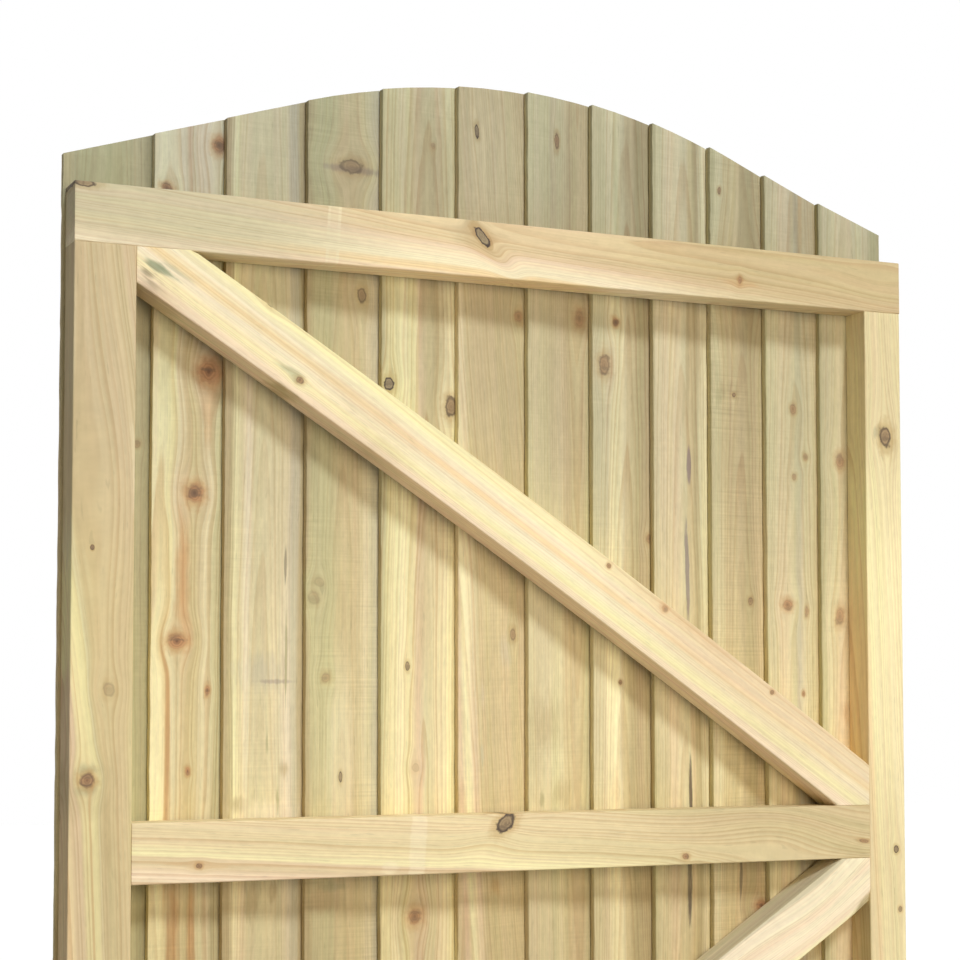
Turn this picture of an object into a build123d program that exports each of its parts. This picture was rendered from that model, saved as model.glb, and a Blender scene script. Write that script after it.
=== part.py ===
"""Arch top garden gate leaf: a braced softwood frame clad with lapped feather-edge boards.

Millimetres. +Z up, +X across the leaf from the hanging stile to the closing stile, -Y towards the
framed side. The origin is the middle of the hanging stile's outer edge face.
"""

import os
from math import asin, atan, atan2, cos, degrees, radians, sin, tan

from build123d import *

# Framing: regularised timber of one thickness, set out as two panels of equal height
leaf_width = 1180
panel_height = 690
frame_depth = 47
rail_face = 73
hanging_stile_face = 76
closing_stile_face = 59
brace_face = 75
arris = 2

# How far each brace's centre line meets the closing stile from the mid rail
upper_brace_lift = 9
lower_brace_drop = 15

# Wane: the bark edge left on the lower brace's front corner at the closing stile
wane_height = 18
wane_depth = 12
wane_length = 48

# Feather-edge boards: a tapered section, fixed by the thin edge and lapped over the next board
board_width = 125
thin_edge = 9
thick_edge = 15
side_overhang = 4
trim_allowance = 2
foot_overhang = 10
fixing_gap = 0.05

# How far each lap line was set by eye from an even spacing, from the hanging side
lap_shifts = [11.3, 5.4, 14.4, 17.5, 26.6, 29.1, 27.1, 21.7, 14.1, 4.1, -5.4]

# Arch top: two straight haunches, given by their slopes in degrees and their feet's heights over the
# top rail, rounded into each other at the crown
hanging_haunch_slope = 18
closing_haunch_slope = 19.5
hanging_shoulder_height = 42.5
closing_shoulder_height = 49
crown_radius = 975

# Places that follow from the sizes above
mid_rail_top = rail_face / 2
panel_top = mid_rail_top + panel_height
frame_top = panel_top + rail_face
opening_left = hanging_stile_face
opening_right = leaf_width - closing_stile_face
opening_width = opening_right - opening_left
opening_middle = (opening_left + opening_right) / 2
board_foot = -frame_top - foot_overhang
hanging_shoulder = (-side_overhang, frame_top + hanging_shoulder_height)
closing_shoulder = (leaf_width, frame_top + closing_shoulder_height)
hanging_rise = tan(radians(hanging_haunch_slope))
closing_rise = tan(radians(closing_haunch_slope))
haunches_meet = (
    closing_shoulder[1] - hanging_shoulder[1] + closing_rise * leaf_width - hanging_rise * side_overhang
) / (hanging_rise + closing_rise)
apex = (haunches_meet, hanging_shoulder[1] + hanging_rise * (haunches_meet + side_overhang))
frame_front = -frame_depth / 2
board_back = frame_depth / 2

os.makedirs("parts", exist_ok=True)

# Top rail: runs the full width over the ends of both stiles
with BuildPart() as top_rail:
    with BuildSketch(Plane.YZ):
        with Locations((0, panel_top + rail_face / 2)):
            RectangleRounded(frame_depth, rail_face, arris)
    extrude(amount=leaf_width)
top_rail.part.label = "top_rail"

# Bottom rail: the same timber, under the stiles
with BuildPart() as bottom_rail:
    mirror(top_rail.part, about=Plane.XY)
bottom_rail.part.label = "bottom_rail"

# Mid rail: cut between the stiles
with BuildPart() as mid_rail:
    with BuildSketch(Plane.YZ.offset(opening_left)):
        RectangleRounded(frame_depth, rail_face, arris)
    extrude(amount=opening_width)
mid_rail.part.label = "mid_rail"

# Hanging stile: the wider upright, which carries the hinges
with BuildPart() as hanging_stile:
    with BuildSketch(Plane.XY.offset(-panel_top)):
        with Locations((hanging_stile_face / 2, 0)):
            RectangleRounded(hanging_stile_face, frame_depth, arris)
    extrude(amount=2 * panel_top)
hanging_stile.part.label = "hanging_stile"

# Closing stile: the narrower upright, on the latch side
with BuildPart() as closing_stile:
    with BuildSketch(Plane.XY.offset(-panel_top)):
        with Locations((leaf_width - closing_stile_face / 2, 0)):
            RectangleRounded(closing_stile_face, frame_depth, arris)
    extrude(amount=2 * panel_top)
closing_stile.part.label = "closing_stile"


def brace_slope(closing_offset):
    """The angle of a brace whose centre line ends this far from the mid rail at the closing stile."""
    return atan2(panel_height - closing_offset, opening_width)


def double_cut_brace(closing_offset):
    """A brace in the upper panel, down from its top corner at the hanging stile to the closing stile.
    Both ends are cut twice, to sit against stile and rail at once."""
    centre_height = mid_rail_top + (panel_height + closing_offset) / 2
    with BuildPart() as brace:
        with BuildSketch(Plane.XZ.offset(-frame_depth / 2)):
            with Locations((opening_middle, mid_rail_top + panel_height / 2)):
                Rectangle(opening_width, panel_height)
            with Locations((opening_middle, centre_height)):
                turn = -degrees(brace_slope(closing_offset))
                Rectangle(2 * leaf_width, brace_face, rotation=turn, mode=Mode.INTERSECT)
        extrude(amount=frame_depth)
        fillet(brace.edges().filter_by(lambda edge: edge.length > opening_width / 2), arris)
    return brace


# Upper brace: from under the top rail at the hanging stile down to the closing stile
upper_brace = double_cut_brace(upper_brace_lift)
upper_brace.part.label = "upper_brace"

# Lower brace: such a brace turned over into the lower panel. Its lower front corner at the closing
# stile is wane: one sloping face through a point on the front, one on the underside and one on the
# corner itself, further down the brace.
lower_slope = brace_slope(lower_brace_drop)
brace_foot = -mid_rail_top - lower_brace_drop - brace_face / 2 / cos(lower_slope)
wane_top = Vector(opening_right, frame_front, brace_foot + wane_height)
wane_back = Vector(opening_right, frame_front + wane_depth, brace_foot)
wane_end = Vector(
    opening_right - wane_length * cos(lower_slope),
    frame_front,
    brace_foot - wane_length * sin(lower_slope),
)
wane_fall = wane_end - wane_top
wane_face = Plane(origin=wane_top, x_dir=wane_fall, z_dir=wane_fall.cross(wane_back - wane_top))
with BuildPart() as lower_brace:
    mirror(double_cut_brace(lower_brace_drop).part, about=Plane.XY)
    split(bisect_by=wane_face, keep=Keep.BOTTOM)
lower_brace.part.label = "lower_brace"

# Boards: the last one is ripped to end flush with the closing stile and lies flat on the rails.
# Each board before it lies over the thin edge of the next, and its lie is worked out from there.
board_count = len(lap_shifts) + 1
pitch = leaf_width / board_count
board_starts = [-side_overhang - trim_allowance]
for number, shift in enumerate(lap_shifts, start=1):
    board_starts.append(number * pitch + shift)
board_seats = [max(start, 0) for start in board_starts]
board_taper = (thick_edge - thin_edge) / board_width

board_angles = [0.0]
for number in reversed(range(board_count - 1)):
    next_angle = board_angles[0]
    corner_x = board_starts[number + 1] - board_seats[number] - thin_edge * sin(next_angle)
    corner_y = thin_edge * cos(next_angle) + fixing_gap
    face_angle = next_angle + atan(board_taper)
    reach = board_starts[number] + board_width - board_seats[number]
    over_face = face_angle + asin((corner_y * cos(face_angle) - corner_x * sin(face_angle)) / reach)
    over_corner = atan2(corner_y, corner_x)
    board_angles.insert(0, max(over_face, over_corner))

boards = []
for number, (start, seat, angle) in enumerate(zip(board_starts, board_seats, board_angles), start=1):
    far_edge = start + board_width - seat if number < board_count else leaf_width - seat
    near_edge = start - seat
    lie = Plane(
        origin=(seat, board_back, board_foot),
        x_dir=(cos(angle), sin(angle), 0),
        z_dir=(0, 0, 1),
    )
    with BuildPart() as board:
        with BuildSketch(lie):
            with BuildLine():
                Polyline(
                    (near_edge, 0),
                    (far_edge, 0),
                    (far_edge, thin_edge + board_taper * (far_edge - near_edge)),
                    (near_edge, thin_edge),
                    close=True,
                )
            make_face()
        extrude(amount=apex[1] - board_foot)
        # The arch and the hanging side are sawn square through all the boards once they are fixed
        with BuildSketch(Plane.XZ):
            with BuildLine():
                FilletPolyline(hanging_shoulder, apex, closing_shoulder, radius=crown_radius)
                Polyline(
                    closing_shoulder,
                    (leaf_width, board_foot),
                    (-side_overhang, board_foot),
                    hanging_shoulder,
                )
            make_face()
        extrude(amount=leaf_width, both=True, mode=Mode.INTERSECT)
    board.part.label = f"board_{number:02d}"
    boards.append(board)

frame_pieces = [top_rail, mid_rail, bottom_rail, hanging_stile, closing_stile, upper_brace, lower_brace]
for piece in frame_pieces + boards:
    export_step(piece.part, f"parts/{piece.part.label}.step")
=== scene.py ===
"""Arch top garden gate leaf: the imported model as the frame, with its timber dressed as treated softwood.

Metres in the gate's own frame: +X across the leaf from the hanging stile, -Y towards the framed side,
+Z up. Knots and marks are given as (x, z) places in millimetres on the gate.
"""
from math import atan2, cos, radians, sin

import bmesh
import bpy
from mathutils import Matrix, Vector, noise
from mathutils.bvhtree import BVHTree


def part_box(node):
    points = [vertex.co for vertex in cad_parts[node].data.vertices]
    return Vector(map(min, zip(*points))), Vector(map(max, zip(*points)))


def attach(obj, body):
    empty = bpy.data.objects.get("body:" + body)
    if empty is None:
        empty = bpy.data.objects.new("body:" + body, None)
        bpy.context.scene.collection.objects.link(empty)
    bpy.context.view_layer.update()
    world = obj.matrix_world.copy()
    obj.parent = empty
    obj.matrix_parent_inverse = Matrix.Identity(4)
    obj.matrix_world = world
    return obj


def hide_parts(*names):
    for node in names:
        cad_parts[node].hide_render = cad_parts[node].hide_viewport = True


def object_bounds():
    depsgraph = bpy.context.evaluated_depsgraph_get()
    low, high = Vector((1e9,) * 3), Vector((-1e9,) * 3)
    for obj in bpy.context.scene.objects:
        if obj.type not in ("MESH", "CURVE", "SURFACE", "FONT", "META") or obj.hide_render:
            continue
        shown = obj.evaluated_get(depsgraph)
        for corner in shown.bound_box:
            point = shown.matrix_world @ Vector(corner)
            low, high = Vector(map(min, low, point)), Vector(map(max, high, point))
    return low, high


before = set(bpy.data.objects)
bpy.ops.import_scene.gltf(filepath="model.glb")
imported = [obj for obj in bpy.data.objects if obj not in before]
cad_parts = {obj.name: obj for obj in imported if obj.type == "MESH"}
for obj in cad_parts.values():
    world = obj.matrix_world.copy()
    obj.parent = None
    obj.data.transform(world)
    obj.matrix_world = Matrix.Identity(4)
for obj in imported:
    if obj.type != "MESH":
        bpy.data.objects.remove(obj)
cad_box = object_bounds()
gate_low, gate_high = (Vector(corner) for corner in cad_box)
scene = bpy.context.scene
scene.view_settings.view_transform = "Standard"

# Camera: about 2.5 m in front of the framed side and half a metre to its left, a little above the
# mid rail. It looks up slightly, and the small lens shift keeps the stiles nearly upright.
lens = bpy.data.cameras.new("camera")
lens.lens = 79.6
lens.sensor_width = 36
lens.shift_y = 0.10
camera = bpy.data.objects.new("camera", lens)
camera.location = (-0.5921, -2.4910, 0.1867)
camera.rotation_euler = (radians(90 + 3.24), 0, radians(-24.42))
scene.collection.objects.link(camera)
scene.camera = camera


# Light: a soft key lamp high in front of the framed side, which throws the rails' shadows down, a warm
# broad panel before it, a second soft lamp that lights the boarded side, and a low even surround.
def lamp(name, kind, energy, towards, colour, **settings):
    data = bpy.data.lights.new(name, kind)
    data.energy = energy
    data.color = colour
    for setting, value in settings.items():
        setattr(data, setting, value)
    made = bpy.data.objects.new(name, data)
    made.rotation_euler = Vector(towards).to_track_quat("-Z", "Y").to_euler()
    scene.collection.objects.link(made)
    return made


lamp("key", "SUN", 2.0, (-0.09, 0.66, -0.66), (0.84, 0.92, 1.0), angle=radians(11))
lamp("back_fill", "SUN", 2.3, (-0.25, -0.85, -0.45), (1.0, 0.97, 0.92), angle=radians(30))
panel = lamp("front_panel", "AREA", 39.0, (-0.11, 0.96, -0.24), (1.0, 0.90, 0.76), shape="DISK", size=1.5)
panel.location = (0.95, -3.0, 0.85)

# The surround is warm where it lights the gate, and plain white where it is seen
world = bpy.data.worlds.new("surround")
scene.world = world
world.use_nodes = True
sky = world.node_tree
sky.nodes.clear()
surround = sky.nodes.new("ShaderNodeBackground")
surround.inputs["Color"].default_value = (1.0, 0.93, 0.82, 1)
surround.inputs["Strength"].default_value = 0.125
white = sky.nodes.new("ShaderNodeBackground")
white.inputs["Color"].default_value = (1, 1, 1, 1)
white.inputs["Strength"].default_value = 1.0
rays = sky.nodes.new("ShaderNodeLightPath")
seen = rays.outputs["Is Camera Ray"]
for ray in ("Is Glossy Ray", "Is Transmission Ray"):
    either = sky.nodes.new("ShaderNodeMath")
    either.operation = "MAXIMUM"
    sky.links.new(seen, either.inputs[0])
    sky.links.new(rays.outputs[ray], either.inputs[1])
    seen = either.outputs[0]
sky_mix = sky.nodes.new("ShaderNodeMixShader")
sky_out = sky.nodes.new("ShaderNodeOutputWorld")
sky.links.new(seen, sky_mix.inputs["Fac"])
sky.links.new(surround.outputs[0], sky_mix.inputs[1])
sky.links.new(white.outputs[0], sky_mix.inputs[2])
sky.links.new(sky_mix.outputs[0], sky_out.inputs["Surface"])

# Floor: a plain pale studio floor at the feet of the boards. It is lifted towards white for the camera
# and still takes the gate's shadow.
floor_half = 14.0
floor_data = bpy.data.meshes.new("floor")
floor_z = gate_low.z
floor_data.from_pydata(
    [(x, y, floor_z) for x, y in ((-floor_half, -floor_half), (floor_half, -floor_half),
                                  (floor_half, floor_half), (-floor_half, floor_half))],
    [], [(0, 1, 2, 3)])
floor = bpy.data.objects.new("floor", floor_data)
scene.collection.objects.link(floor)
floor_paint = bpy.data.materials.new("studio floor")
floor_paint.use_nodes = True
floor_tree = floor_paint.node_tree
floor_tree.nodes.clear()
matt = floor_tree.nodes.new("ShaderNodeBsdfDiffuse")
matt.inputs["Color"].default_value = (0.52, 0.51, 0.49, 1)
lift = floor_tree.nodes.new("ShaderNodeEmission")
lift.inputs["Color"].default_value = (1, 1, 1, 1)
floor_rays = floor_tree.nodes.new("ShaderNodeLightPath")
lift_level = floor_tree.nodes.new("ShaderNodeMath")
lift_level.operation = "MULTIPLY"
lift_level.inputs[1].default_value = 0.60
floor_sum = floor_tree.nodes.new("ShaderNodeAddShader")
floor_out = floor_tree.nodes.new("ShaderNodeOutputMaterial")
floor_tree.links.new(floor_rays.outputs["Is Camera Ray"], lift_level.inputs[0])
floor_tree.links.new(lift_level.outputs[0], lift.inputs["Strength"])
floor_tree.links.new(matt.outputs[0], floor_sum.inputs[0])
floor_tree.links.new(lift.outputs[0], floor_sum.inputs[1])
floor_tree.links.new(floor_sum.outputs[0], floor_out.inputs["Surface"])
floor_data.materials.append(floor_paint)


# Treated softwood, solid through each timber: the effects that every timber of the gate shares.
# Inside the groups the grain runs along X, Z is across the face and Y goes into the depth.
def plug(tree, socket, value):
    """Links value to the socket where it is another node's output, and sets it otherwise."""
    if isinstance(value, bpy.types.NodeSocket):
        tree.links.new(value, socket)
    else:
        socket.default_value = value


def maths(tree, operation, *values, clamp=False):
    node = tree.nodes.new("ShaderNodeMath")
    node.operation = operation
    node.use_clamp = clamp
    for socket, value in zip(node.inputs, values):
        plug(tree, socket, value)
    return node.outputs[0]


def fade(tree, value, start, end, low=0.0, high=1.0):
    """A smooth step from low at start to high at end."""
    node = tree.nodes.new("ShaderNodeMapRange")
    node.interpolation_type = "SMOOTHSTEP"
    for socket, given in zip(node.inputs, (value, start, end, low, high)):
        plug(tree, socket, given)
    return node.outputs[0]


def blend(tree, amount, first, second, kind="MIX"):
    node = tree.nodes.new("ShaderNodeMix")
    node.data_type = "RGBA"
    node.blend_type = kind
    plug(tree, node.inputs[0], amount)
    plug(tree, node.inputs[6], first)
    plug(tree, node.inputs[7], second)
    return node.outputs[2]


def cloud(tree, vector, stretch, detail=2.0, roughness=0.5, seed=0.0):
    """Noise from 0 to 1 whose cells per metre along, into and across the timber are given by stretch."""
    scaled = tree.nodes.new("ShaderNodeVectorMath")
    scaled.operation = "MULTIPLY_ADD"
    plug(tree, scaled.inputs[0], vector)
    plug(tree, scaled.inputs[1], stretch)
    plug(tree, scaled.inputs[2], seed if isinstance(seed, bpy.types.NodeSocket) else (seed, seed, seed))
    node = tree.nodes.new("ShaderNodeTexNoise")
    node.inputs["Scale"].default_value = 1.0
    node.inputs["Detail"].default_value = detail
    node.inputs["Roughness"].default_value = roughness
    plug(tree, node.inputs["Vector"], scaled.outputs[0])
    return node.outputs[0]


def split(tree, vector):
    node = tree.nodes.new("ShaderNodeSeparateXYZ")
    plug(tree, node.inputs[0], vector)
    return node.outputs[0], node.outputs[1], node.outputs[2]


def join(tree, x, y, z):
    node = tree.nodes.new("ShaderNodeCombineXYZ")
    for socket, value in zip(node.inputs, (x, y, z)):
        plug(tree, socket, value)
    return node.outputs[0]


def new_group(name, inputs, outputs):
    """A shader node group with named sockets; returns it with its inner source and target sockets."""
    group = bpy.data.node_groups.new(name, "ShaderNodeTree")
    for socket, kind, value in inputs:
        made = group.interface.new_socket(socket, in_out="INPUT", socket_type="NodeSocket" + kind)
        if value is not None:
            made.default_value = value
    for socket, kind in outputs:
        group.interface.new_socket(socket, in_out="OUTPUT", socket_type="NodeSocket" + kind)
    source = group.nodes.new("NodeGroupInput").outputs
    target = group.nodes.new("NodeGroupOutput").inputs
    return group, source, target


def place(tree, group, **values):
    """Places a group in a tree; a socket's name is written with _ for each space."""
    node = tree.nodes.new("ShaderNodeGroup")
    node.node_tree = group
    for name, value in values.items():
        plug(tree, node.inputs[name.replace("_", " ")], value)
    return node.outputs


# The grain's drift: it never runs quite true to the timber's edges
drift, src, out = new_group("grain drift", [
    ("Vector", "Vector", None), ("Drift", "Float", 0.006), ("Seed", "Float", 0.0)],
    [("Vector", "Vector")])
slow = cloud(drift, src["Vector"], (1.6, 3.0, 3.0), 1.0, seed=src["Seed"])
quick = cloud(drift, src["Vector"], (9.0, 9.0, 9.0), 1.0, seed=src["Seed"])
sway = maths(drift, "MULTIPLY_ADD", quick, 0.18, slow)
sway = maths(drift, "MULTIPLY", maths(drift, "SUBTRACT", sway, 0.59), 2.0)
along, depth, across = split(drift, src["Vector"])
drift.links.new(
    join(drift, along, depth, maths(drift, "MULTIPLY_ADD", sway, src["Drift"], across)), out["Vector"])

# A knot: the grain parts and flows round it. Nearest is 0 at its heart and 1 at its edge, and the
# closest knot decides how strongly coloured it is and whether it has a dark rim or a dark heart.
knot, src, out = new_group("knot", [
    ("Vector", "Vector", None), ("Nearest", "Float", 9.0), ("Strength", "Float", 0.0),
    ("Rim", "Float", 0.0), ("Centre", "Vector", None), ("Length", "Float", 0.01),
    ("Width", "Float", 0.008), ("Lean", "Float", 0.0), ("Bend", "Float", 1.0), ("Ragged", "Float", 0.5),
    ("Own Strength", "Float", 1.0), ("Own Rim", "Float", 0.0)],
    [("Vector", "Vector"), ("Nearest", "Float"), ("Strength", "Float"), ("Rim", "Float")])
along, depth, across = split(knot, src["Vector"])
centre_along, centre_depth, centre_across = split(knot, src["Centre"])
off_along = maths(knot, "SUBTRACT", along, centre_along)
off_across = maths(knot, "SUBTRACT", across, centre_across)
leaned = maths(knot, "MULTIPLY_ADD", off_along, src["Lean"], off_across)
rel_along = maths(knot, "DIVIDE", off_along, src["Length"])
rel_across = maths(knot, "DIVIDE", leaned, src["Width"])
reach = maths(knot, "SQRT", maths(
    knot, "ADD", maths(knot, "MULTIPLY", rel_along, rel_along),
    maths(knot, "MULTIPLY", rel_across, rel_across)))
reach = maths(knot, "MULTIPLY", reach, maths(knot, "MULTIPLY_ADD", src["Ragged"], 0.9, 0.55))
wide_along = maths(knot, "MULTIPLY", rel_along, 0.30)
wide_across = maths(knot, "MULTIPLY", rel_across, 0.42)
wide = maths(knot, "ADD", maths(knot, "MULTIPLY", wide_along, wide_along),
             maths(knot, "MULTIPLY", wide_across, wide_across))
pull = maths(knot, "MULTIPLY", maths(knot, "EXPONENT", maths(knot, "MULTIPLY", wide, -1.0)), src["Bend"])
bent = maths(knot, "SUBTRACT", across, maths(knot, "MULTIPLY", pull, off_across))
knot.links.new(join(knot, along, depth, bent), out["Vector"])
closer = maths(knot, "LESS_THAN", reach, src["Nearest"])
knot.links.new(maths(knot, "MINIMUM", reach, src["Nearest"]), out["Nearest"])
for own, kept in (("Own Strength", "Strength"), ("Own Rim", "Rim")):
    change = maths(knot, "SUBTRACT", src[own], src[kept])
    knot.links.new(maths(knot, "MULTIPLY_ADD", change, closer, src[kept]), out[kept])

# Growth rings round a pith that lies outside the face or leans through it: pale early wood that turns
# slowly darker and ends in a sharp line of late wood
rings, src, out = new_group("growth rings", [
    ("Vector", "Vector", None), ("Pith Across", "Float", 0.0), ("Pith Depth", "Float", 0.06),
    ("Lean", "Float", 0.0), ("Ring Width", "Float", 0.003), ("Seed", "Float", 0.0)],
    [("Late", "Float")])
along, depth, across = split(rings, src["Vector"])
ripple = cloud(rings, src["Vector"], (5.0, 40.0, 40.0), 2.0, seed=src["Seed"])
from_across = maths(rings, "SUBTRACT", across, src["Pith Across"])
from_depth = maths(rings, "SUBTRACT",
                   maths(rings, "MULTIPLY_ADD", along, src["Lean"], depth), src["Pith Depth"])
radius = maths(rings, "SQRT", maths(
    rings, "ADD", maths(rings, "MULTIPLY", from_across, from_across),
    maths(rings, "MULTIPLY", from_depth, from_depth)))
uneven = rings.nodes.new("ShaderNodeTexNoise")
uneven.noise_dimensions = "1D"
uneven.inputs["Scale"].default_value = 70.0
uneven.inputs["Detail"].default_value = 1.0
rings.links.new(radius, uneven.inputs["W"])
count = maths(rings, "DIVIDE", radius, src["Ring Width"])
count = maths(rings, "MULTIPLY_ADD", uneven.outputs[0], 3.0, count)
count = maths(rings, "MULTIPLY_ADD", ripple, 0.9, count)
phase = maths(rings, "FRACT", count)
late = maths(rings, "MULTIPLY", fade(rings, phase, 0.25, 0.88), fade(rings, phase, 0.90, 1.0, 1.0, 0.0))
years = rings.nodes.new("ShaderNodeTexWhiteNoise")
years.noise_dimensions = "1D"
rings.links.new(maths(rings, "FLOOR", count), years.inputs["W"])
rings.links.new(
    maths(rings, "MULTIPLY", late, maths(rings, "MULTIPLY_ADD", years.outputs[0], 0.75, 0.25)), out["Late"])

# A soft-edged patch along the grain, for stains, bark pockets, torn grain and the pale marks that drying
# sticks leave, and at a few places for painted shade
patch, src, out = new_group("patch", [
    ("Vector", "Vector", None), ("Centre", "Vector", None), ("Length", "Float", 0.03),
    ("Width", "Float", 0.004), ("Softness", "Float", 0.4), ("Fray", "Float", 0.5),
    ("Raggedness", "Float", 0.5)],
    [("Mask", "Float")])
along, depth, across = split(patch, src["Vector"])
centre_along, centre_depth, centre_across = split(patch, src["Centre"])
rel_along = maths(patch, "DIVIDE", maths(patch, "SUBTRACT", along, centre_along), src["Length"])
rel_across = maths(patch, "DIVIDE", maths(patch, "SUBTRACT", across, centre_across), src["Width"])
reach = maths(patch, "SQRT", maths(
    patch, "ADD", maths(patch, "MULTIPLY", rel_along, rel_along),
    maths(patch, "MULTIPLY", rel_across, rel_across)))
fray = maths(patch, "MULTIPLY", maths(patch, "SUBTRACT", src["Fray"], 0.5), src["Raggedness"])
reach = maths(patch, "MULTIPLY_ADD", fray, 2.0, reach)
inner = maths(patch, "SUBTRACT", 1.0, src["Softness"])
outer = maths(patch, "ADD", 1.0, src["Softness"])
patch.links.new(fade(patch, reach, inner, outer, 1.0, 0.0), out["Mask"])

# The wood's face: tone, late wood, fibres, mottling, a green bloom of preservative, and the knots over
# them. A knot with no rim is alive, red with a dark heart. One with a rim is dead, tan inside bark.
face, src, out = new_group("softwood face", [
    ("Vector", "Vector", None), ("Tone", "Color", (0.8, 0.62, 0.38, 1)), ("Late", "Float", 0.0),
    ("Late Depth", "Float", 0.3), ("Fibre", "Float", 0.10), ("Mottle", "Float", 0.10),
    ("Bloom", "Float", 0.2), ("Nearest", "Float", 9.0), ("Strength", "Float", 0.0), ("Rim", "Float", 0.0),
    ("Sawn", "Float", 0.0), ("Seed", "Float", 0.0)],
    [("Color", "Color"), ("Roughness", "Float"), ("Height", "Float")])
fine = cloud(face, src["Vector"], (14.0, 520.0, 520.0), 2.0, 0.65, src["Seed"])
broad = cloud(face, src["Vector"], (2.2, 120.0, 120.0), 2.0, 0.55, src["Seed"])
hues = cloud(face, src["Vector"], (1.5, 70.0, 70.0), 2.0, 0.5, maths(face, "ADD", src["Seed"], 3.0))
mottle = cloud(face, src["Vector"], (60.0, 120.0, 150.0), 2.0, 0.7, src["Seed"])
blotch = cloud(face, src["Vector"], (3.5, 14.0, 14.0), 2.0, 0.5, src["Seed"])
dashes = cloud(face, src["Vector"], (38.0, 560.0, 560.0), 1.0, 0.5, src["Seed"])
colour = blend(face, maths(face, "MULTIPLY", src["Late"], src["Late Depth"]), src["Tone"],
               (0.62, 0.40, 0.25, 1), "MULTIPLY")
streaks = maths(face, "ADD", maths(face, "MULTIPLY", maths(face, "SUBTRACT", fine, 0.5), 1.4),
                maths(face, "MULTIPLY", maths(face, "SUBTRACT", broad, 0.5), 1.8))
streaks = maths(face, "MULTIPLY_ADD", streaks, src["Fibre"], 1.0)
streaks = maths(face, "MULTIPLY_ADD", maths(face, "SUBTRACT", blotch, 0.5), 0.20, streaks)
streaks = maths(face, "MULTIPLY_ADD", maths(face, "SUBTRACT", mottle, 0.5), src["Mottle"], streaks)
streaks = maths(face, "MULTIPLY_ADD", fade(face, dashes, 0.66, 0.76), -0.12, streaks)
colour = blend(face, 1.0, colour, join(face, streaks, streaks, streaks), "MULTIPLY")
colour = blend(face, 1.0, colour, blend(
    face, fade(face, hues, 0.30, 0.70), (0.98, 1.0, 0.95, 1), (1.015, 0.99, 1.0, 1)), "MULTIPLY")
bloom = maths(face, "MULTIPLY", fade(face, blotch, 0.35, 0.70), src["Bloom"])
colour = blend(face, bloom, colour, (0.80, 1.0, 0.86, 1), "MULTIPLY")

# Band saw marks: faint lines square across the grain, in groups
saw_along, saw_depth, saw_across = split(face, src["Vector"])
saw_groups = cloud(face, src["Vector"], (7.0, 5.0, 9.0), 1.0, seed=src["Seed"])
tooth = cloud(face, src["Vector"], (300.0, 6.0, 6.0), 2.0, 0.7, src["Seed"])
sawn = maths(face, "MULTIPLY", maths(face, "SUBTRACT", tooth, 0.5),
             maths(face, "MULTIPLY", fade(face, saw_groups, 0.40, 0.62), src["Sawn"]))
marks = maths(face, "MULTIPLY_ADD", sawn, 0.28, 1.0)
colour = blend(face, 1.0, colour, join(face, marks, marks, marks), "MULTIPLY")

live = maths(face, "SUBTRACT", 1.0, src["Rim"])
blur = maths(face, "MULTIPLY", live, 0.28)
body = maths(face, "MULTIPLY", fade(face, src["Nearest"], maths(face, "SUBTRACT", 0.92, blur),
                                    maths(face, "ADD", 1.08, blur), 1.0, 0.0), src["Strength"])
halo = maths(face, "MULTIPLY", fade(face, src["Nearest"], 0.9, 2.3, 0.55, 0.0), src["Strength"])
heart = maths(face, "MULTIPLY", fade(face, src["Nearest"], 0.05, 0.62, 0.85, 0.0), live)
bark = maths(face, "MULTIPLY", fade(face, src["Nearest"], 0.62, 0.86), src["Rim"])
turns = maths(face, "SINE", maths(face, "MULTIPLY", src["Nearest"], 19.0))
inside = cloud(face, src["Vector"], (110.0, 160.0, 110.0), 2.0, 0.6, src["Seed"])
colour = blend(face, halo, colour, blend(
    face, src["Rim"], (0.78, 0.47, 0.28, 1), (0.66, 0.55, 0.38, 1)), "MULTIPLY")
knotty = blend(face, src["Rim"], (0.56, 0.29, 0.13, 1), (0.36, 0.28, 0.16, 1))
knotty = blend(face, heart, knotty, (0.19, 0.085, 0.045, 1))
knotty = blend(face, maths(face, "MULTIPLY_ADD", turns, 0.14, 0.14), knotty, (0.13, 0.08, 0.05, 1))
knotty = blend(face, fade(face, inside, 0.42, 0.62, 0.0, 0.6), knotty, (0.16, 0.11, 0.07, 1))
knotty = blend(face, bark, knotty, (0.065, 0.045, 0.036, 1))
colour = blend(face, body, colour, knotty)
face.links.new(colour, out["Color"])

gloss = maths(face, "MULTIPLY_ADD", fine, -0.14, 0.80)
gloss = maths(face, "MULTIPLY_ADD", src["Late"], -0.08, gloss)
face.links.new(maths(face, "MULTIPLY_ADD", body, -0.12, gloss), out["Roughness"])
relief = maths(face, "MULTIPLY_ADD", src["Late"], 0.35, maths(face, "MULTIPLY", fine, 0.6))
face.links.new(relief, out["Height"])

# The colours that the softwood takes after treatment, with those of its bark, resin and stains
timber_tones = {
    "ivory": (0.96, 0.84, 0.60), "cream": (0.96, 0.85, 0.50), "yellow": (0.90, 0.78, 0.42),
    "blush": (0.93, 0.75, 0.53), "sap": (0.85, 0.70, 0.42), "pink": (0.80, 0.62, 0.39),
    "pale": (0.78, 0.67, 0.40), "tan": (0.72, 0.58, 0.32), "grey": (0.66, 0.58, 0.39),
    "green": (0.64, 0.56, 0.31), "brown": (0.58, 0.46, 0.25), "olive": (0.48, 0.42, 0.23),
    "peach": (0.94, 0.72, 0.42), "dun": (0.64, 0.51, 0.32), "rust": (0.62, 0.34, 0.14),
    "purple": (0.36, 0.28, 0.24), "moss": (0.34, 0.37, 0.23), "bark": (0.12, 0.085, 0.06),
}
MM = 0.001


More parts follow.
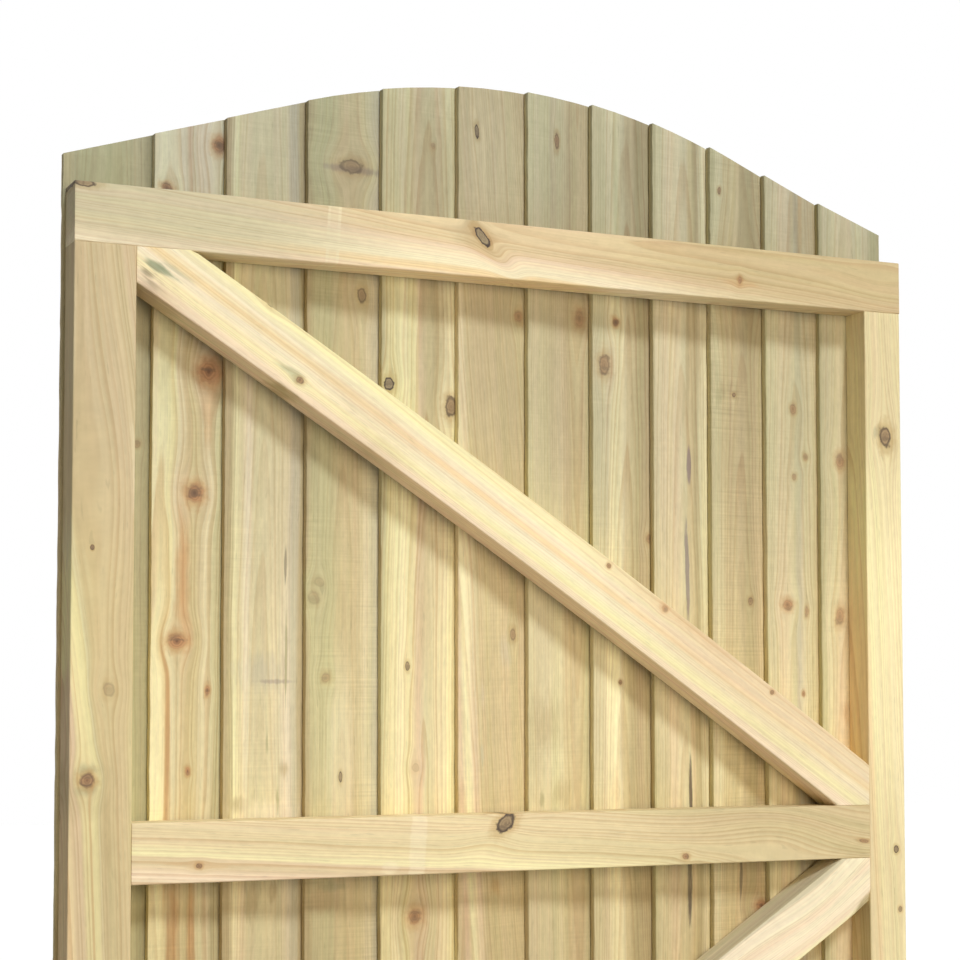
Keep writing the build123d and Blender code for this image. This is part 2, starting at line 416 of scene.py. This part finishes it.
def grain_turn(name):
    """The angle from the gate's X to a timber's grain, which follows the longest edge of its mesh. Where
    that is the diagonal of a face, as on the rails and stiles, the grain runs 2 to 4 degrees off the
    timber's own edges. It runs down an upright, so that across the grain is to the right, or upwards;
    board_07, whose edge leans by a hair, is the one that has it the other way."""
    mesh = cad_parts[name].data
    ends = max(([mesh.vertices[i].co for i in edge.vertices] for edge in mesh.edges),
               key=lambda pair: (pair[0] - pair[1]).length)
    run = ends[1] - ends[0]
    if run.x < 0 or (abs(run.x) < 0.0001 and run.z > 0):
        run = -run
    return atan2(run.z, run.x)


def on_grain(x, z, turn):
    """A place on the gate, in millimetres, as a place along and across a timber turned by that angle."""
    return Vector((x * cos(turn) + z * sin(turn), 0, -x * sin(turn) + z * cos(turn))) * MM


def softwood(node, bands, pith, ring, late, seed, knots=(), patches=(), drifting=6, fibre=0.13, mottle=0.18,
             bloom=0.08, streaky=7, sawn=0.0, weathering_and_shade=(), relief=0.5):
    """The material of the timber that a CAD node stands for, in millimetres. bands are its tones, each
    with its distance from the timber's lowest or leftmost reach across the grain. pith is the distance of
    the pith from there, its depth and its lean. A knot is (x, z, half length, half width, strength, rim,
    bend), with a lean where it has one, a patch (x, z, half length, half width, tone, amount, softness).
    Each entry of weathering_and_shade is a tint that sets in from one height to another on the framed side,
    some for weathering and some for painted shade."""
    angle = grain_turn(node)
    corners = [vert.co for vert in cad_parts[node].data.vertices]
    spread = [on_grain(corner.x / MM, corner.z / MM, angle).z for corner in corners]
    ends = min(spread), max(spread)
    material = bpy.data.materials.new(node + " softwood")
    material.use_nodes = True
    tree = material.node_tree
    shader = tree.nodes["Principled BSDF"]
    where = tree.nodes.new("ShaderNodeTexCoord").outputs["Object"]
    turned = tree.nodes.new("ShaderNodeMapping")
    turned.inputs["Rotation"].default_value = (0, angle, 0)
    tree.links.new(where, turned.inputs["Vector"])
    straight = turned.outputs[0]
    state = {"Vector": place(tree, drift, Vector=straight, Drift=drifting * MM, Seed=seed)["Vector"]}
    ragged = cloud(tree, state["Vector"], (110.0, 60.0, 110.0), 2.0, 0.6)
    for x, z, length, width, strength, rim, bend, *lean in knots:
        state = place(tree, knot, **state, Centre=on_grain(x, z, angle), Length=length * MM,
                      Width=width * MM, Own_Strength=strength, Own_Rim=rim, Bend=bend, Lean=sum(lean),
                      Ragged=ragged)
        state = {key: state[key] for key in ("Vector", "Nearest", "Strength", "Rim")}

    across = split(tree, state["Vector"])[2]
    wander = cloud(tree, state["Vector"], (1.3, 130.0, 130.0), 3.0, 0.6, seed + 5.0)
    across = maths(tree, "MULTIPLY_ADD", maths(tree, "SUBTRACT", wander, 0.5), 2 * streaky * MM, across)
    share = tree.nodes.new("ShaderNodeMapRange")
    tree.links.new(across, share.inputs["Value"])
    share.inputs["From Min"].default_value = ends[0]
    share.inputs["From Max"].default_value = ends[1]
    ramp = tree.nodes.new("ShaderNodeValToRGB")
    ramp.color_ramp.interpolation = "EASE"
    for stop, (at, tone) in enumerate(bands):
        at *= MM / (ends[1] - ends[0])
        element = ramp.color_ramp.elements[stop] if stop < 2 else ramp.color_ramp.elements.new(at)
        element.position = at
        element.color = (*timber_tones[tone], 1)
    tree.links.new(share.outputs[0], ramp.inputs[0])
    tone = ramp.outputs[0]
    fray = cloud(tree, state["Vector"], (45.0, 90.0, 240.0), 2.0)
    for x, z, length, width, colour, amount, softness in patches:
        torn = min(0.9, 1.6 * softness, 40 / length)
        mask = place(tree, patch, Vector=state["Vector"], Centre=on_grain(x, z, angle), Length=length * MM,
                     Width=width * MM, Softness=softness, Fray=fray, Raggedness=torn)["Mask"]
        tone = blend(tree, maths(tree, "MULTIPLY", mask, amount), tone, (*timber_tones[colour], 1))

    pith_across, pith_depth, lean = pith
    grown = place(tree, rings, Vector=state["Vector"], Pith_Across=ends[0] + pith_across * MM,
                  Pith_Depth=pith_depth * MM, Lean=lean, Ring_Width=ring * MM, Seed=seed)["Late"]
    wood = place(tree, face, **state, Tone=tone, Late=grown, Late_Depth=late, Fibre=fibre, Mottle=mottle,
                 Bloom=bloom, Sawn=sawn, Seed=seed)
    colour = wood["Color"]
    if weathering_and_shade:
        facing = split(tree, tree.nodes.new("ShaderNodeNewGeometry").outputs["Normal"])[1]
        framed_side = fade(tree, facing, 0.2, -0.2)
    # Tints by height on the framed side only: the weathering of the boards' heads, and painted shade where
    # the wood is darkened as if less light reached it
    for below, above, shade in weathering_and_shade:
        set_in = fade(tree, split(tree, where)[2], below * MM, above * MM)
        set_in = maths(tree, "MULTIPLY", set_in, framed_side)
        colour = blend(tree, set_in, colour, (*shade, 1), "MULTIPLY")
    tree.links.new(colour, shader.inputs["Base Color"])
    tree.links.new(wood["Roughness"], shader.inputs["Roughness"])
    shader.inputs["Specular IOR Level"].default_value = 0.25
    bump = tree.nodes.new("ShaderNodeBump")
    bump.inputs["Strength"].default_value = relief
    bump.inputs["Distance"].default_value = 0.5 * MM
    tree.links.new(wood["Height"], bump.inputs["Height"])
    tree.links.new(bump.outputs[0], shader.inputs["Normal"])
    return material


def dress(name, material, step=0.012, arris=0.0005, sway=0.0006, rough_edge=0.0, worn_strip=0.006,
          crisp=32, crook=0.0, moves=()):
    """Stands for a CAD timber: the same solid, its cut edges eased, divided into short lengths and given
    the slight wind and waviness of real wood. rough_edge wears a strip along the edges of sawn boards
    unevenly, faces that meet at over crisp degrees meet in a sharp edge, and crook is the rise of a timber
    that has sprung upwards between its ends, which stay against what they bear on. Each of moves shifts
    the corner of the CAD solid at one place by a few millimetres."""
    angle = grain_turn(name)
    grain = Vector((cos(angle), 0, sin(angle)))
    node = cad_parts[name]
    low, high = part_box(name)
    work = bmesh.new()
    work.from_mesh(node.data)
    bmesh.ops.remove_doubles(work, verts=work.verts, dist=0.00001)
    bmesh.ops.dissolve_limit(work, angle_limit=radians(0.3), verts=work.verts, edges=work.edges)
    for corner, shift in moves:
        nearest = min(work.verts, key=lambda vert: (vert.co - Vector(corner) * MM).length)
        nearest.co += Vector(shift) * MM
    cut_edges = [edge for edge in work.edges if edge.is_manifold and edge.calc_face_angle() > radians(35)]
    bmesh.ops.bevel(work, geom=cut_edges, offset=arris, segments=2, profile=0.5, affect="EDGES")
    reaches = [Vector((x, 0, z)).dot(grain) for x in (low.x, high.x) for z in (low.z, high.z)]
    at = min(reaches) + step / 2
    while at < max(reaches):
        bmesh.ops.bisect_plane(work, geom=work.verts[:] + work.edges[:] + work.faces[:], dist=0.00002,
                               plane_co=grain * at, plane_no=grain)
        at += step
    rise = Vector((-grain.z, 0, grain.x))
    waves_per_metre, wave_row, wave_middle = 2.1, 3.7, 0.55
    for vert in work.verts:
        place_now = vert.co.copy()
        share = (place_now.dot(grain) - min(reaches)) / (max(reaches) - min(reaches))
        vert.co += 4 * crook * share * (1 - share) * rise
        # Faces that end the timber or bear on another stay where they are
        for axis in (0, 2):
            if min(place_now[axis] - low[axis], high[axis] - place_now[axis]) < arris:
                vert.co[axis] = place_now[axis]
        wave = Vector((place_now.x * waves_per_metre, place_now.z * waves_per_metre, wave_row))
        wave = noise.noise(wave)
        vert.co.y += sway * (wave - wave_middle)
        if rough_edge:
            near = min(place_now.x - low.x, high.x - place_now.x)
            if near < worn_strip:
                # Long shallow dips, with short splinters on them
                fray = noise.noise(Vector((low.x * 31, place_now.z * 26, place_now.y * 40)))
                fray += 0.6 * noise.noise(Vector((low.x * 17, place_now.z * 110, place_now.y * 90)))
                inward = 1 if place_now.x - low.x < high.x - place_now.x else -1
                vert.co.x += inward * rough_edge * max(0.0, 0.5 + fray)
    mesh = bpy.data.meshes.new(name + "_timber")
    work.to_mesh(mesh)
    work.free()
    mesh.materials.append(material)
    for polygon in mesh.polygons:
        polygon.use_smooth = True
    mesh.set_sharp_from_angle(angle=radians(crisp))
    piece = bpy.data.objects.new(name + "_timber", mesh)
    scene.collection.objects.link(piece)
    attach(piece, "root")
    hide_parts(name)
    return piece


# Top rail: planed softwood over the ends of both stiles, with a strip of pale sapwood along its lower
# edge, a dead knot in the middle and the pale marks of drying sticks.
top_rail_wood = softwood(
    "top_rail", [(0, "ivory"), (9, "ivory"), (14, "blush"), (30, "peach"), (42, "ivory"), (60, "blush"),
                 (73, "pink")],
    pith=(112, 26, 0.012), ring=3.4, late=0.34, seed=1.3,
    knots=[(532, 779, 12, 8, 1.0, 1.0, 0.9, 0.75), (11, 797, 15, 5, 0.9, 0.9, 1.0),
           (918, 754, 3, 5, 0.9, 0.3, 0.8), (1150, 786, 20, 12, 0.0, 0.0, 0.7),
           (600, 752, 70, 18, 0.0, 0.0, -0.5)],
    # The grey patch over the left end and the brown one over the right half are painted shade, darker where
    # the light falls off towards the rail's ends
    patches=[(327, 763, 9, 90, "ivory", 0.35, 0.12), (320, 763, 2, 90, "ivory", 0.5, 0.3),
             (334, 763, 2, 90, "ivory", 0.5, 0.3), (1060, 765, 300, 60, "brown", 0.75, 0.6),
             (100, 775, 230, 50, "grey", 1.0, 0.6), (918, 752, 26, 4, "rust", 0.35, 0.7),
             (522, 786, 30, 13, "moss", 0.25, 0.8), (532, 779, 24, 16, "rust", 0.30, 0.8)],
    drifting=5)
dress("top_rail", top_rail_wood)

# Bottom rail: the top rail's twin under the stiles, out of the picture
bottom_rail_wood = softwood(
    "bottom_rail", [(0, "tan"), (25, "sap"), (52, "cream"), (73, "yellow")],
    pith=(110, 30, 0.010), ring=2.9, late=0.42, seed=2.9,
    knots=[(310, -752, 13, 9, 0.9, 0.8, 0.9, 0.3), (742, -781, 9, 8, 0.8, 0.8, 0.9),
           (1040, -744, 5, 4, 0.8, 0.2, 0.8)],
    drifting=5)
dress("bottom_rail", bottom_rail_wood)

# Mid rail: cut between the stiles. A large dead knot near its top edge throws the grain about, and the
# grain swings in a wave beside the closing stile.
mid_rail_wood = softwood(
    "mid_rail", [(0, "pink"), (10, "blush"), (26, "pink"), (33, "pink"), (38, "cream"), (54, "sap"),
                 (73, "sap")],
    pith=(-34, 20, 0.006), ring=4.2, late=0.44, seed=3.1,
    knots=[(564, 24, 13, 11, 1.0, 0.85, -0.55, -0.45), (159, -16, 4, 3.0, 1.0, 0.4, 0.9),
           (828, -27, 5, 4, 0.9, 0.3, 0.9), (975, -30, 34, 28, 0.0, 0.0, 0.9),
           (1060, 40, 60, 26, 0.0, 0.0, 0.6), (1111, -4, 8, 2.5, 0.8, 0.4, 0.9)],
    # The broad brown patch over the right half is painted shade, darker where the light falls off towards
    # the closing stile
    patches=[(443, 0, 11, 90, "ivory", 0.45, 0.15), (405, -27, 10, 9, "ivory", 0.4, 0.4),
             (980, 22, 330, 44, "brown", 0.65, 0.6), (159, -16, 45, 2.5, "rust", 0.3, 0.6),
             (900, -28, 200, 12, "brown", 0.35, 0.7), (1102, -20, 30, 10, "brown", 0.5, 0.8),
             (690, 20, 130, 22, "sap", 0.6, 0.8)],
    drifting=5)
dress("mid_rail", mid_rail_wood)

# Hanging stile: the wider upright. Long wandering grain that swings out high up, one dark round knot low
# down and a long thin line of resin beside it.
hanging_stile_wood = softwood(
    "hanging_stile", [(0, "brown"), (4, "dun"), (10, "pink"), (22, "peach"), (34, "peach"), (44, "pink"),
                      (51, "pink"), (56, "yellow"), (68, "yellow"), (73, "pale"), (76, "tan")],
    pith=(-20, 24, 0.014), ring=5.2, late=0.38, seed=4.2,
    knots=[(25, 362, 3.5, 2.5, 1.0, 0.6, 0.9), (21, 88, 8, 8, 1.0, 0.35, 0.95),
           (46, 194, 8, 7, 0.35, 0.7, 0.9), (24, 440, 60, 26, 0.0, 0.0, 0.9),
           (52, -402, 10, 9, 0.9, 0.2, 0.9), (24, -560, 5, 4, 0.8, 0.3, 0.9)],
    patches=[(21, 101, 6, 4, "moss", 0.5, 0.7), (20, 75, 6, 5, "moss", 0.6, 0.7),
             (18, 74, 30, 24, "brown", 0.5, 0.8), (30, -60, 150, 1.3, "rust", 0.6, 0.5),
             (40, 640, 250, 60, "dun", 0.85, 0.6), (60, 440, 55, 9, "ivory", 0.6, 0.7),
             (34, -80, 190, 36, "brown", 0.4, 0.7), (47, -60, 130, 5, "brown", 0.5, 0.7)],
    drifting=6, streaky=4)
dress("hanging_stile", hanging_stile_wood)

# Closing stile: the narrower upright on the latch side, with an oval knot high up
closing_stile_wood = softwood(
    "closing_stile", [(0, "dun"), (4, "brown"), (9, "tan"), (18, "tan"), (26, "sap"), (36, "peach"),
                      (44, "cream"), (59, "cream")],
    pith=(-30, 26, 0.010), ring=4.4, late=0.36, seed=5.7,
    knots=[(1154, 551, 15, 9, 0.95, 0.75, 0.95), (1163, -26, 5, 4, 1.0, 0.9, 0.9),
           (1169, -109, 4, 3, 0.7, 0.6, 0.8), (1135, -480, 12, 9, 0.9, 0.3, 0.9)],
    patches=[(1148, 557, 9, 6, "moss", 0.6, 0.5), (1150, 660, 200, 50, "dun", 0.55, 0.7),
             (1160, 545, 26, 8, "brown", 0.5, 0.8), (1150, -90, 160, 34, "tan", 0.5, 0.8)],
    drifting=5, streaky=4)
dress("closing_stile", closing_stile_wood)

# Upper brace: double cut into the corners. Its top end is stained round a cluster of knots, and a spike
# knot runs out along its underside.
upper_brace_wood = softwood(
    "upper_brace", [(0, "green"), (4, "blush"), (14, "blush"), (24, "cream"), (40, "ivory"), (50, "peach"),
                    (62, "ivory"), (75, "cream")],
    pith=(110, 30, 0.010), ring=3.6, late=0.30, seed=6.4,
    knots=[(246, 671, 7, 5, 0.9, 0.8, 0.9), (283, 576, 5, 4, 0.9, 0.4, 0.9),
           (715, 359, 3, 3, 0.9, 0.4, 0.8), (799, 304, 5, 4, 0.6, 0.1, 0.8),
           (965, 193, 3, 3, 0.9, 0.5, 0.9)],
    patches=[(90, 668, 15, 17, "purple", 0.6, 0.6), (98, 704, 14, 5, "moss", 0.9, 0.6),
             (88, 694, 8, 4, "bark", 0.6, 0.7), (94, 682, 11, 3, "bark", 0.45, 0.7),
             (88, 662, 7, 5, "bark", 0.4, 0.8), (112, 698, 16, 3, "moss", 0.8, 0.6),
             (126, 700, 20, 3, "moss", 0.4, 0.7), (100, 660, 30, 20, "pink", 0.7, 0.7),
             (270, 586, 18, 4, "moss", 0.5, 0.7), (266, 562, 20, 4, "brown", 0.8, 0.6),
             (380, 540, 90, 13, "pink", 0.5, 0.8), (392, 498, 36, 12, "brown", 0.3, 0.9),
             (960, 190, 260, 40, "pink", 0.8, 0.7), (840, 280, 70, 7, "rust", 0.25, 0.8)],
    drifting=5)
dress("upper_brace", upper_brace_wood, crook=0.0105)

# Lower brace: the same piece turned over, paler, with a corner of bark edge left at the closing stile
lower_brace_wood = softwood(
    "lower_brace", [(0, "cream"), (16, "blush"), (34, "ivory"), (52, "blush"), (62, "ivory"), (71, "ivory"),
                    (75, "grey")],
    pith=(-40, 30, 0.010), ring=3.6, late=0.28, seed=7.8,
    knots=[(1020, -70, 30, 20, 0.0, 0.0, 0.7), (560, -385, 12, 10, 0.9, 0.3, 0.9),
           (300, -590, 6, 5, 0.8, 0.6, 0.9)],
    # The two brown patches on the bark edge give the bark's brown and, in part, painted shade inside the
    # notch
    patches=[(1112, -92, 16, 7, "brown", 0.85, 0.4), (1104, -104, 12, 4, "brown", 0.9, 0.4),
             (1085, -75, 30, 20, "ivory", 0.7, 0.8)],
    drifting=5)
dress("lower_brace", lower_brace_wood, crisp=22,
      moves=[((1121, -11.5, -96.1), (0, -7, 0))])

# Feather-edge boards: fine-sawn, each of its own log, nailed through the thick edge. Their heads stand
# above the rail in the open and are greyer and greener than the sheltered panels.
board_looks = [
    dict(bands=[(0, "tan"), (16, "green"), (60, "green"), (90, "green"), (104, "olive")], late=0.22,
         knots=[(92, 494, 5, 4, 0.5, 0.3, 0.9)]),
    dict(bands=[(0, "cream"), (16, "cream"), (27, "yellow"), (36, "pale"), (48, "tan"), (60, "tan"),
                (72, "pale"), (82, "pale"), (92, "green")],
         pith=(10, 45, 0.02), ring=6.0, late=0.45, drifting=14,
         knots=[(180, 589, 13, 12, 1.0, 0.0, 0.9), (165, 437, 11, 10, 1.0, 0.0, 0.9),
                (147, 254, 9, 11, 1.0, 0.0, 0.9), (193, 875, 10, 9, 0.9, 0.0, 0.9),
                (122, 813, 6, 7, 0.9, 0.1, 0.9), (187, 194, 6, 3, 0.9, 0.0, 0.9),
                (164, 95, 5, 3, 0.9, 0.0, 0.9)],
         patches=[(155, 880, 100, 4, "rust", 0.75, 0.6), (152, 330, 75, 8, "rust", 0.7, 0.7),
                  (136, 110, 170, 3, "rust", 0.65, 0.5), (148, -140, 120, 7, "rust", 0.75, 0.5),
                  (172, -140, 120, 5, "rust", 0.7, 0.5), (180, 545, 50, 5, "rust", 0.5, 0.7),
                  (190, 590, 40, 30, "pink", 0.4, 0.8), (122, 620, 60, 14, "tan", 0.5, 0.7),
                  (160, 437, 30, 20, "pink", 0.4, 0.8), (155, 880, 120, 60, "ivory", 0.5, 0.7)]),
    dict(bands=[(0, "brown"), (9, "brown"), (13, "cream"), (24, "sap"), (38, "pale"), (80, "pale"),
                (96, "grey"), (107, "brown")], late=0.26, ring=2.8,
         patches=[(222, 52, 9, 12, "brown", 0.75, 0.6), (240, -62, 22, 9, "brown", 0.8, 0.6),
                  (268, -55, 13, 6, "brown", 0.85, 0.5), (262, 40, 14, 40, "ivory", 0.5, 0.8),
                  (285, 120, 190, 10, "ivory", 0.5, 0.8), (255, 215, 20, 30, "grey", 0.8, 0.7),
                  (272, 205, 2.5, 22, "purple", 0.5, 0.6), (285, 355, 22, 1.6, "bark", 0.55, 0.5),
                  (287, 240, 60, 1.5, "olive", 0.9, 0.5), (262, 130, 12, 1.6, "olive", 0.8, 0.6),
                  (276, 60, 14, 2.0, "olive", 0.8, 0.6), (284, 96, 8, 6, "brown", 0.7, 0.8),
                  (232, 330, 260, 5, "ivory", 0.6, 0.7)]),
    dict(bands=[(0, "brown"), (14, "green"), (34, "green"), (50, "tan"), (70, "tan"), (88, "pale"),
                (101, "grey")],
         late=0.22, sawn=1.4, ring=3.0,
         knots=[(369, 866, 9, 16, 0.65, 0.7, 0.9), (321, 310, 8, 8, 0.30, 0.5, 0.9),
                (339, 210, 6, 6, 0.5, 0.3, 0.9), (360, 85, 7, 2.5, 0.8, 0.9, 0.9),
                (385, 700, 10, 6, 0.7, 0.7, 0.9), (326, 330, 6, 5, 0.25, 0.5, 0.9)],
         patches=[(372, 862, 4, 24, "purple", 0.5, 0.7), (332, -66, 15, 26, "brown", 0.95, 0.5),
                  (346, -52, 5, 16, "olive", 0.8, 0.6), (360, 90, 120, 16, "ivory", 0.4, 0.8),
                  (315, 500, 60, 9, "olive", 0.35, 0.9)]),
    dict(bands=[(0, "green"), (8, "yellow"), (28, "cream"), (42, "yellow"), (56, "pink"), (68, "pale"),
                (80, "sap"), (98, "cream"), (107, "yellow")],
         pith=(62, 32, 0.035), ring=5.0, late=0.42,
         knots=[(416, 588, 9, 7, 0.95, 1.0, 0.9), (508, 564, 13, 9, 0.85, 0.7, 0.9),
                (448, 225, 6, 3, 0.8, 0.8, 0.9), (460, -94, 10, 9, 0.8, 0.1, 0.9),
                (461, 95, 6, 5, 0.25, 0.6, 0.9), (484, 905, 4, 3, 0.4, 0.3, 0.9)],
         patches=[(482, 640, 150, 17, "brown", 0.75, 0.6), (484, 860, 90, 26, "brown", 0.6, 0.7),
                  (452, -70, 60, 30, "tan", 0.5, 0.8), (470, 330, 120, 12, "tan", 0.5, 0.8),
                  (455, 880, 110, 60, "tan", 0.55, 0.7)]),
    dict(bands=[(0, "yellow"), (14, "cream"), (27, "yellow"), (37, "cream"), (40, "tan"), (52, "pink"),
                (62, "cream"), (74, "sap"), (86, "tan"), (100, "tan")], late=0.33, ring=3.2,
         knots=[(546, 931, 9, 3, 0.95, 0.9, 0.9), (600, 268, 8, 4, 0.7, 0.6, 0.9),
                (610, 690, 8, 6, 0.6, 0.0, 0.9)],
         patches=[(548, 70, 160, 5, "pink", 0.8, 0.6), (572, 880, 130, 50, "sap", 0.5, 0.7),
                  (584, 640, 170, 34, "brown", 0.3, 0.7), (556, 110, 14, 3, "grey", 0.5, 0.7),
                  (556, 190, 14, 3, "grey", 0.4, 0.7), (590, 245, 20, 8, "grey", 0.5, 0.7),
                  (578, -60, 10, 7, "rust", 0.45, 0.7)]),
    dict(bands=[(0, "sap"), (8, "sap"), (12, "brown"), (28, "green"), (40, "tan"), (60, "tan"),
                (74, "pale"), (96, "pale")],
         late=0.30, ring=3.0,
         knots=[(663, 931, 10, 3.5, 0.9, 0.5, 0.9), (620, 405, 4, 4, 0.9, 0.8, 0.9),
                (700, 694, 12, 7, 0.6, 0.1, 0.9)],
         patches=[(650, 150, 30, 24, "brown", 0.6, 0.8), (672, 60, 16, 14, "brown", 0.7, 0.7),
                  (640, 52, 10, 3, "olive", 0.8, 0.5), (665, 850, 130, 26, "olive", 0.4, 0.8),
                  (700, 706, 30, 12, "brown", 0.5, 0.8), (665, 620, 200, 46, "brown", 0.5, 0.7),
                  (630, 130, 80, 12, "brown", 0.4, 0.8)]),
    dict(bands=[(0, "pale"), (18, "pale"), (28, "cream"), (44, "cream"), (48, "pale"), (54, "tan"),
                (72, "brown"), (93, "brown")],
         late=0.40, ring=3.0,
         knots=[(731, 632, 14, 8, 0.75, 0.5, 0.9), (748, 692, 6, 5, 0.9, 0.0, 0.9),
                (806, 400, 6, 5, 0.6, 0.2, 0.9), (762, 205, 3, 3, 0.8, 0.3, 0.9)],
         patches=[(798, 150, 26, 12, "brown", 0.9, 0.6), (790, 120, 60, 22, "brown", 0.4, 0.9),
                  (722, 560, 150, 14, "grey", 0.6, 0.8), (765, 860, 120, 44, "olive", 0.4, 0.8),
                  (731, 632, 22, 12, "pink", 0.5, 0.8), (754, 58, 26, 7, "rust", 0.25, 0.8),
                  (762, 560, 200, 46, "green", 0.4, 0.8)]),
    dict(bands=[(0, "green"), (10, "pale"), (34, "sap"), (56, "pale"), (64, "tan"), (74, "brown"),
                (84, "pale"), (91, "cream")],
         late=0.33, ring=3.2,
         patches=[(870, 503, 26, 3.4, "purple", 0.9, 0.3), (864, 352, 68, 3.4, "purple", 0.85, 0.3),
                  (866, 60, 44, 3.0, "bark", 0.85, 0.35), (864, -52, 66, 3.6, "bark", 0.9, 0.35),
                  (868, 650, 100, 3.2, "brown", 0.8, 0.5), (884, 650, 26, 6, "brown", 0.5, 0.7),
                  (840, -60, 30, 22, "brown", 0.5, 0.8), (820, 90, 70, 16, "brown", 0.35, 0.8)]),
    dict(bands=[(0, "green"), (12, "pale"), (26, "tan"), (46, "tan"), (54, "brown"), (70, "brown"),
                (88, "tan")],
         late=0.33, sawn=1.4, ring=3.0,
         knots=[(958, 760, 24, 22, 0.0, 0.0, 0.7), (965, 318, 5, 4, 0.7, 0.5, 0.9),
                (982, -101, 6, 9, 0.9, 0.0, 0.9), (914, 888, 5, 3, 0.8, 0.4, 0.9),
                (938, 604, 3, 3, 0.9, 0.6, 0.9)],
         patches=[(957, 668, 54, 3.0, "bark", 0.95, 0.25), (957, 700, 16, 3.2, "olive", 0.9, 0.4),
                  (957, 640, 90, 14, "brown", 0.8, 0.6), (940, 612, 10, 26, "brown", 0.9, 0.5),
                  (914, 600, 12, 8, "olive", 0.5, 0.6), (948, -60, 44, 2.4, "bark", 0.7, 0.5),
                  (926, 850, 90, 3, "tan", 0.6, 0.6), (935, 150, 110, 10, "olive", 0.35, 0.9),
                  (943, 560, 200, 44, "brown", 0.5, 0.8)]),
    dict(bands=[(0, "green"), (8, "pale"), (34, "sap"), (50, "pale"), (58, "grey"), (70, "pale"),
                (89, "tan")],
         late=0.33, ring=3.2,
         knots=[(1035, 590, 7, 5, 0.65, 0.3, 0.9), (1026, 314, 8, 8, 0.75, 0.1, 0.9),
                (1037, 494, 5, 4, 0.55, 0.3, 0.9), (1057, 523, 5, 4, 0.5, 0.1, 0.9),
                (1057, 305, 7, 4, 0.55, 0.2, 0.9), (1052, 190, 4, 3, 0.8, 0.2, 0.9)],
         patches=[(1051, 890, 110, 4, "rust", 0.6, 0.6), (1062, 870, 110, 12, "brown", 0.5, 0.8),
                  (1030, 560, 230, 46, "green", 0.5, 0.8)]),
    dict(bands=[(0, "olive"), (7, "green"), (15, "pale"), (32, "sap"), (44, "sap"), (70, "pale"),
                (104, "green")],
         late=0.28, ring=3.2,
         knots=[(1110, 519, 10, 7, 0.65, 0.2, 0.9), (1109, 299, 12, 7, 0.65, 0.2, 0.9)],
         patches=[(1110, 130, 140, 10, "pink", 0.85, 0.6), (1118, 165, 12, 6, "rust", 0.4, 0.8),
                  (1110, 560, 230, 46, "green", 0.5, 0.8)]),
]
board_defaults = dict(pith=(48, 55, 0.02), ring=3.6, drifting=10, fibre=0.17, mottle=0.26, bloom=0.12,
                      streaky=8, sawn=0.6,
                      # On the framed side the boards darken and cool towards the top from 150 to 620 mm,
                      # their heads above the rail are weathered greyer and greener, and below the mid rail
                      # the panel is darkened as painted shade, lying in less light there
                      weathering_and_shade=[(150, 620, (0.80, 0.82, 0.88)), (765, 800, (0.81, 0.85, 0.92)),
                                  (-40, -100, (0.82, 0.78, 0.74))])
for number, look in enumerate(board_looks, start=1):
    name = f"board_{number:02d}"
    wood = softwood(name, seed=10.0 + 1.7 * number, **{**board_defaults, **look})
    dress(name, wood, rough_edge=0.0008)

# Nails: galvanised heads on the boarded side, driven through the thick edge of each board: a pair into
# every rail, and one between the rails into the brace, or into the stile behind the outer boards
zinc = bpy.data.materials.new("galvanised steel")
zinc.use_nodes = True
zinc_tree = zinc.node_tree
zinc_shader = zinc_tree.nodes["Principled BSDF"]
spangle = cloud(zinc_tree, zinc_tree.nodes.new("ShaderNodeTexCoord").outputs["Object"], (900, 900, 900), 2.0)
zinc_tree.links.new(blend(zinc_tree, spangle, (0.40, 0.41, 0.41, 1), (0.62, 0.63, 0.62, 1)),
                    zinc_shader.inputs["Base Color"])
zinc_shader.inputs["Metallic"].default_value = 0.85
zinc_shader.inputs["Roughness"].default_value = 0.48
nail_radius = 3.2 * MM
nail_crown = 0.72 * nail_radius
nail_stand = 0.5 * MM
nail_edge = 24 * MM
ripped_edge = 6 * MM
nail_pair = 18 * MM
stile_nail = 0.36
brace_half = 0.042
rail_heights = [sum(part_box(name)[end].z for end in (0, 1)) / 2
                for name in ("top_rail", "mid_rail", "bottom_rail")]
brace_low, brace_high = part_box("upper_brace")
heads = bmesh.new()
for number in range(1, len(board_looks) + 1):
    name = f"board_{number:02d}"
    low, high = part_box(name)
    skin = BVHTree.FromPolygons([vert.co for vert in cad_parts[name].data.vertices],
                                [face.vertices[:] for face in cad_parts[name].data.polygons])
    nail_x = min(high.x, gate_high.x - ripped_edge) - nail_edge
    heights = [height + side * nail_pair for height in rail_heights for side in (-1, 1)]
    if number in (1, len(board_looks)):
        heights += [side * stile_nail for side in (-1, 1)]
    else:
        share = (nail_x - brace_low.x) / (brace_high.x - brace_low.x)
        middle = brace_high.z - brace_half + share * (brace_low.z - brace_high.z + 2 * brace_half)
        heights += [middle, -middle]
    for height in heights:
        hit, normal, *_ = skin.ray_cast(Vector((nail_x, 1, height)), Vector((0, -1, 0)))
        if hit is None:
            continue
        head = bmesh.ops.create_cone(heads, cap_ends=True, segments=16, radius1=nail_radius,
                                     radius2=nail_crown, depth=nail_stand)["verts"]
        turn = Vector((0, 0, 1)).rotation_difference(normal).to_matrix()
        for vert in head:
            vert.co = turn @ vert.co + hit
nail_mesh = bpy.data.meshes.new("board_nails")
heads.to_mesh(nail_mesh)
heads.free()
nail_mesh.materials.append(zinc)
nails = bpy.data.objects.new("board_nails", nail_mesh)
scene.collection.objects.link(nails)
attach(nails, "root")
